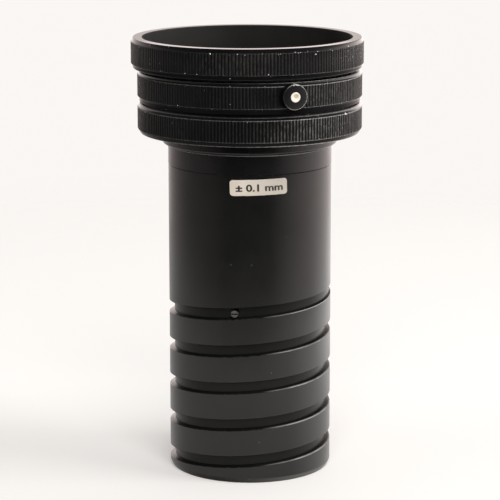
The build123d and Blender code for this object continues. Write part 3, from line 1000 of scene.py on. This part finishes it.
def knobFinish():
    # painted highlight: the rim of the knob is painted bright, strongest on its right side, and is the
    # brightest part of it
    material, shader, place, colour = blackFinish(
        "knobBlack", finish["knobTone"], finish["knobRoughness"], dustShare=0.03
    )
    right, out = screwFacePlace(place)[::2]
    rim = band(faceDistance(place), *lockScrew["rimBand"])
    rim = times(rim, ramp(out, 38.75, 38.95))
    patchy = ramp(noise(place, 900, detail=4.0, roughness=0.7), 0.36, 0.56, 0.3, 1.0)
    wearAndHighlight = times(rim, patchy, ramp(right, -3.4, -0.8, 0.05, 1.0))
    colour = mixColour(wearAndHighlight, colour, shade(finish["edgeHighlightTone"], lockScrew["rimBrightness"]))
    for shiftRight, shiftUp, chipRadius in lockScrew["knobChips"]:
        near = math("LESS_THAN", faceDistance(place, (shiftRight, shiftUp)), chipRadius)
        colour = mixColour(near, colour, finish["speckTone"])
    paint(shader, colour)
    # dirt in the knurl makes the side of the knob duller than its face
    link(ramp(out, 38.7, 38.95, 0.15, 0.5), shader.inputs["Specular IOR Level"])
    return material


def studEndFinish():
    # pale paint in the dished end, with painted shade making it browner towards the upper right, where the
    # wall of the dish is in shade
    material, shader, place = newMaterial("ivoryPaint")
    shadedDish = ramp(faceDistance(place, (0.2, 0.25)), 1.05, 0.35, 0.0, 0.9)
    shadedDish = times(shadedDish, ramp(noise(place, 1500), 0.3, 0.6, 0.7, 1.0))
    colour = mixColour(shadedDish, finish["studPaint"], finish["studShadeTone"])
    paint(shader, colour)
    driftingRoughness(shader, place, 900, 0.32, 0.45)
    return material


def makeKnob():
    outline = breakCorners(lockScrew["knobOutline"], lockScrew["cornerFlat"], lockScrew["sharp"])
    knob = turnRing("lockKnob", outline, lockScrew["ribs"] * 4)
    pressKnurl(knob, lockScrew)
    standOut(knob, focusRing["lockAzimuth"], focusRing["lockHeight"])
    giveMaterial(knob, knobFinish())
    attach(knob, "lock_screw")
    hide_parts("lock_screw_knob")
    return knob


def makeStud():
    stud = turnDisc("lockStud", lockScrew["studOutline"], lockScrew["studSteps"])
    giveMaterial(stud, brightSteel, studEndFinish())
    for face in stud.data.polygons:
        face.material_index = 1 if face.center.z / mm > lockScrew["paintedAbove"] else 0
    standOut(stud, focusRing["lockAzimuth"], focusRing["lockHeight"])
    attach(stud, "lock_screw")
    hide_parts("lock_screw_stud")
    return stud


# Stop screw in the groove

stopScrew = {
    "outline": [(0.2, 20.4), (1.15, 20.4), (1.25, 20.5), (1.25, 25.95), (1.12, 26.1), (0.2, 26.1)],
    "steps": 48,
    "slotLength": 4,
    "slotWidth": 0.5,
    "slotReach": (25.5, 27),
}


def makeStopScrew():
    azimuth = barrel["screwAzimuth"]
    height = grooveHeight(azimuth)
    screw = turnDisc("stopScrew", stopScrew["outline"], stopScrew["steps"])
    standOut(screw, azimuth, height)
    length, width, reach = stopScrew["slotLength"], stopScrew["slotWidth"], stopScrew["slotReach"]
    cutAway(screw, squareBar("slot", azimuth, height, length, width, reach))
    tidyMesh(screw)
    giveMaterial(screw, rubbedSteel)
    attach(screw, "fixed_barrel")
    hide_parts("stop_screw")
    return screw


screws = [makeKnob(), makeStud(), makeStopScrew()]
print("screws made:", [len(screw.data.polygons) for screw in screws], "faces")


# Label

label = {
    "width": 18.3,
    "height": 5.0,
    "corner": 0.98,
    "cornerSteps": 5,
    "thickness": 0.1,
    "radius": 26.26,
    "azimuth": 6.2,
    "middle": 96.2,
    "tilt": 1.35,
    "words": "± 0.1 mm",
    "textWidth": 15.0,
    "textHeight": 2.3,
    "textStroke": 0.032,
    "textCurveSteps": 6,
    "textShift": (0.2, -0.1),
    "inkThickness": 0.012,
    "strip": 0.5,
}


def cutStrips(piece):
    # long faces are cut into narrow strips, so that they can follow the round barrel
    makeActive(piece)
    enterMode("EDIT")
    reach = label["width"] / 2
    count = int(label["width"] / label["strip"])
    for number in range(1, count):
        selectMesh("SELECT")
        x = -reach + label["width"] * number / count
        bpy.ops.mesh.bisect(plane_co=(x * mm, 0, 0), plane_no=(1, 0, 0))
    enterMode("OBJECT")


def thicken(piece, thickness):
    solid = piece.modifiers.new("solid", "SOLIDIFY")
    solid.thickness = thickness * mm
    solid.offset = 1
    applyModifiers(piece)


def wrapOnBarrel(piece, radius):
    tilt = radians(label["tilt"])
    for point in piece.data.vertices:
        x, y, z = point.co / mm
        along = x * cos(tilt) - y * sin(tilt)
        up = x * sin(tilt) + y * cos(tilt)
        angle = radians(label["azimuth"]) + along / label["radius"]
        reach = radius + z
        point.co = (reach * sin(angle) * mm, -reach * cos(angle) * mm, (label["middle"] + up) * mm)


def makeLabelFilm():
    deselectAll()
    bpy.ops.mesh.primitive_plane_add(size=1)
    overlay = bpy.context.object
    overlay.name = "labelFilm"
    overlay.scale = (label["width"] * mm, label["height"] * mm, 1)
    applyTransform(scale=True)
    enterMode("EDIT")
    selectMesh("SELECT")
    bpy.ops.mesh.bevel(offset=label["corner"] * mm, segments=label["cornerSteps"], affect="VERTICES")
    enterMode("OBJECT")
    cutStrips(overlay)
    thicken(overlay, label["thickness"])
    wrapOnBarrel(overlay, label["radius"])
    tidyMesh(overlay)
    giveMaterial(overlay, labelFinish())
    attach(overlay, "fixed_barrel")
    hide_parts("barrel_label")
    return overlay


def fitFigures(figures):
    # brings the figures to their printed width and height, centred on the label
    for axis, printed in enumerate((label["textWidth"], label["textHeight"])):
        places = [point.co[axis] for point in figures.data.vertices]
        low, high = min(places), max(places)
        scale = printed / (high - low)
        for point in figures.data.vertices:
            point.co[axis] = ((point.co[axis] - (low + high) / 2) * scale + label["textShift"][axis]) * mm


def makeLabelFigures():
    deselectAll()
    bpy.ops.object.text_add()
    figures = bpy.context.object
    figures.name = "labelFigures"
    figures.data.body = label["words"]
    figures.data.align_x = "CENTER"
    figures.data.align_y = "CENTER"
    figures.data.resolution_u = label["textCurveSteps"]
    figures.data.offset = label["textStroke"]
    bpy.ops.object.convert(target="MESH")
    fitFigures(figures)
    cutStrips(figures)
    thicken(figures, label["inkThickness"])
    wrapOnBarrel(figures, label["radius"] + label["thickness"])
    tidyMesh(figures)
    giveMaterial(figures, inkFinish())
    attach(figures, "fixed_barrel")
    return figures


labelPieces = [makeLabelFilm(), makeLabelFigures()]
print("label made:", [len(piece.data.polygons) for piece in labelPieces], "faces")


# Glass

glass = {
    "rimFlat": 0.15,
    "steps": 128,
    "faceLoops": 28,
    "pieces": {
        "frontGlass": {
            "node": "front_element", "body": "front_group", "radius": 29.9, "clear": 28.5,
            "bottom": 121.5, "edge": 4.0, "rearSag": 0.5, "frontSag": 4.5,
        },
        "rearGlass": {
            "node": "rear_element", "body": "fixed_barrel", "radius": 20.5, "clear": 19.1,
            "bottom": 7.0, "edge": 5.0, "rearSag": 1.4, "frontSag": 1.0,
        },
    },
}


def archedLoops(clear, level, sag):
    # loops from the rim to the middle of a glass face that stands up from its rim by the sag
    curve = (clear ** 2 + sag ** 2) / (2 * abs(sag))
    count = glass["faceLoops"]
    loops = []
    for number in range(count):
        reach = clear * cos(pi / 2 * number / count)
        rise = (curve ** 2 - reach ** 2) ** 0.5 - (curve ** 2 - clear ** 2) ** 0.5
        loops.append((reach, level + (rise if sag > 0 else -rise)))
    return loops


def makeGlass(name, facts):
    radius, bottom, flat = facts["radius"], facts["bottom"], glass["rimFlat"]
    top = bottom + facts["edge"]
    under = archedLoops(facts["clear"], bottom, -facts["rearSag"])
    over = archedLoops(facts["clear"], top, facts["frontSag"])
    rim = [(radius - flat, bottom), (radius, bottom + flat), (radius, top - flat), (radius - flat, top)]
    piece = turnDisc(name, list(reversed(under)) + rim + over, glass["steps"])
    giveMaterial(piece, coatedGlass)
    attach(piece, facts["body"])
    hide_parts(facts["node"])
    return piece


glassPieces = [makeGlass(name, facts) for name, facts in glass["pieces"].items()]
print("glass made:", [len(piece.data.polygons) for piece in glassPieces], "faces")


# Finishes of the pieces kept from the CAD

keptFinishes = {
    "aperture_stop": insideBlack,
    "inner_retaining_ring": insideBlack,
    "rear_cell": insideBlack,
    "rear_retaining_ring": insideBlack,
    "front_cell": insideBlack,
    "front_ring_nut": insideBlack,
    "element_spacer": insideBlack,
    "front_element_retainer": insideBlack,
    "inner_element": coatedGlass,
    "second_element": coatedGlass,
    "bearing_washer": washerDark,
    "retaining_circlip": springSteel,
    "lock_pad": plainBrass,
    "cam_pins": plainBrass,
}

for nodeName, material in keptFinishes.items():
    for materialSlot in nodes[nodeName].material_slots:
        materialSlot.material = material
print("CAD nodes finished:", len(keptFinishes))


# Studio

studio = {
    "background": (0.962, 0.928, 0.902),
    "roomTone": (1.0, 0.885, 0.85),
    "roomBrightness": 1.4,
    "floorTone": (0.735, 0.708, 0.686),
    "floorToneBehind": (0.388, 0.373, 0.361),
    "floorRoughness": 0.75,
    "floorGloss": 0.2,
    "floorCentre": (0, 120),
    "floorRadius": 500,
    "floorSides": 96,
    "floorDrop": 0.02,
    "floorFade": (240, 460),
    "floorLift": (0.30, 0.72),
    "floorLiftAlong": (-115, -15),
    "floorInReflections": (0.5, 1.9),
    "floorReflectionsAlong": (0, 190),
    "cameraPlace": (0, -719.66, 220.43),
    "cameraPitch": 11.737,
    "cameraRoll": 0.055,
    "sensorWidth": 36,
    "focalLength": 162.72,
    "shiftX": 0.00113,
    "lamps": {
        "keyLight": {"place": (640, -196, 790), "size": 380, "power": 3.1},
        "frontLight": {"place": (120, -850, 700), "size": 700, "power": 10.4},
        "topLight": {"place": (120, 250, 1200), "size": 1100, "power": 3.0},
    },
    "lampTarget": (0, 0, 70),
}


def seenDirectly(inReflections):
    # 1 for what the camera sees itself or through glass, the given share in a reflection,
    # 0 for the light on the lens
    path = addNode(inReflections, "ShaderNodeLightPath")
    mirrored = times(path.outputs["Is Glossy Ray"], inReflections)
    seen = larger(path.outputs["Is Camera Ray"], mirrored)
    return larger(seen, path.outputs["Is Transmission Ray"])


def floorFinish():
    # behind the lens the floor gives back less light and glows more, so that the shadow fades there;
    # places on the floor are measured from its own centre
    material, shader, place = newMaterial("paleFloor")
    x, y = axes(place)[:2]
    along = inMetres(studio["floorLiftAlong"])
    tone = mixColour(ramp(y, *along), studio["floorTone"], studio["floorToneBehind"])
    paint(shader, tone)
    shader.inputs["Roughness"].default_value = studio["floorRoughness"]
    shader.inputs["Specular IOR Level"].default_value = studio["floorGloss"]
    inReflections = ramp(x, *inMetres(studio["floorReflectionsAlong"]), *studio["floorInReflections"])
    glow = addNode(shader, "ShaderNodeEmission", Color=(*studio["background"], 1))
    lift = ramp(y, *along, *studio["floorLift"])
    link(times(seenDirectly(inReflections), lift), glow.inputs["Strength"])
    lifted = addNode(shader, "ShaderNodeAddShader")
    link(shader.outputs[0], lifted.inputs[0])
    link(glow.outputs[0], lifted.inputs[1])
    # the floor fades into the backdrop towards its edge
    fade = ramp(distance(x, y), *inMetres(studio["floorFade"]))
    clear = addNode(shader, "ShaderNodeBsdfTransparent")
    blend = addNode(shader, "ShaderNodeMixShader")
    link(fade, blend.inputs[0])
    link(lifted.outputs[0], blend.inputs[1])
    link(clear.outputs[0], blend.inputs[2])
    link(blend.outputs[0], material.node_tree.nodes["Material Output"].inputs["Surface"])
    return material


def makeFloor():
    deselectAll()
    centre = inMetres((*studio["floorCentre"], -studio["floorDrop"]))
    bpy.ops.mesh.primitive_circle_add(
        vertices=studio["floorSides"], radius=studio["floorRadius"] * mm, fill_type="NGON", location=centre
    )
    floor = bpy.context.object
    floor.name = "floor"
    giveMaterial(floor, floorFinish())


def makeRoom():
    # the room is bright behind the lens and to its right, and dim in front of it and above it
    world = bpy.data.worlds.new("studio")
    bpy.context.scene.world = world
    world.use_nodes = True
    tree = world.node_tree
    x, y, z = axes(addNode(tree, "ShaderNodeTexCoord").outputs["Generated"])
    behind = plus(times(y, 0.5), 0.46)
    behind = math("SUBTRACT", behind, times(size(z), 0.3), clamp=True)
    rightwards = plus(times(x, 0.6), 1.0)
    # the pale backdrop behind the lens ends a little above it
    level = ramp(z, -0.15, 0.0, 1.0, 1.5)
    overhead = ramp(z, 0.14, 0.42, 1.0, 0.12)
    bright = times(math("POWER", behind, 0.75), rightwards, level, overhead)
    bright = times(bright, studio["roomBrightness"])
    path = addNode(tree, "ShaderNodeLightPath")
    backdrop = tree.nodes["Background"]
    tone = mixColour(path.outputs["Is Glossy Ray"], studio["background"], studio["roomTone"])
    link(tone, backdrop.inputs["Color"])
    seen = larger(path.outputs["Is Camera Ray"], path.outputs["Is Transmission Ray"])
    strength = plus(times(bright, minus(1.0, seen)), seen)
    link(strength, backdrop.inputs["Strength"])


def makeLamps():
    target = Vector(inMetres(studio["lampTarget"]))
    for name, facts in studio["lamps"].items():
        lampData = bpy.data.lights.new(name, "AREA")
        lampData.shape = "SQUARE"
        lampData.size = facts["size"] * mm
        lampData.energy = facts["power"]
        lamp = bpy.data.objects.new(name, lampData)
        bpy.context.scene.collection.objects.link(lamp)
        lamp.location = inMetres(facts["place"])
        lamp.rotation_euler = (target - lamp.location).to_track_quat("-Z", "Y").to_euler()
        lamp.visible_glossy = False


def makeCamera():
    cameraData = bpy.data.cameras.new("photoView")
    cameraData.sensor_width = studio["sensorWidth"]
    cameraData.lens = studio["focalLength"]
    cameraData.shift_x = studio["shiftX"]
    camera = bpy.data.objects.new("photoView", cameraData)
    bpy.context.scene.collection.objects.link(camera)
    camera.location = inMetres(studio["cameraPlace"])
    camera.rotation_euler = (radians(90 - studio["cameraPitch"]), radians(studio["cameraRoll"]), 0)
    bpy.context.scene.camera = camera
    bpy.context.scene.view_settings.view_transform = "Standard"


makeFloor()
makeRoom()
makeLamps()
makeCamera()
print("studio ready")

deselectAll()
